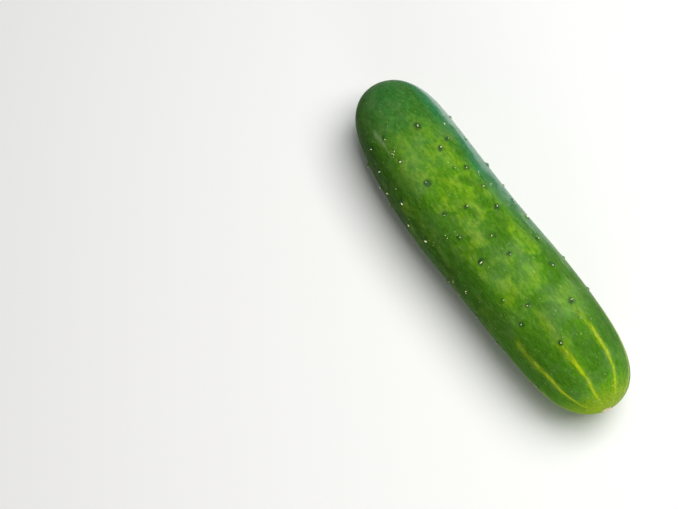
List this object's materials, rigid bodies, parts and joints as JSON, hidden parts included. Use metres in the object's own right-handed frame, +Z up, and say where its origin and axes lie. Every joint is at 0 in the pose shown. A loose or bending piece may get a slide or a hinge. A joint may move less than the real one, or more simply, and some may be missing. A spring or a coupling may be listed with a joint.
{
  "type": "cucumber",
  "caption": "Whole field cucumber lying on its side: blunt slightly bowed fruit with shallow ribs, small warts, a blossom scar and a sunken stalk stub.",
  "frame": {"origin": "on the surface that the fruit lies on, at the middle of its length and width", "axes": "+X along the length from the stem end to the blossom end, +Z up, the fruit bows slightly in the XY plane with its ends towards +Y, and the blossom scar lies a little towards -Y"},
  "size_m": [0.2002, 0.0526, 0.0514],
  "materials": {
    "skin": "waxy satin vegetable skin: dark green at the stem end, mottled mid green along the body, with yellow-green stripes that run in from the blossom end"
  },
  "bodies": {
    "root": {"cucumber": "skin"}
  },
  "joints": []
}
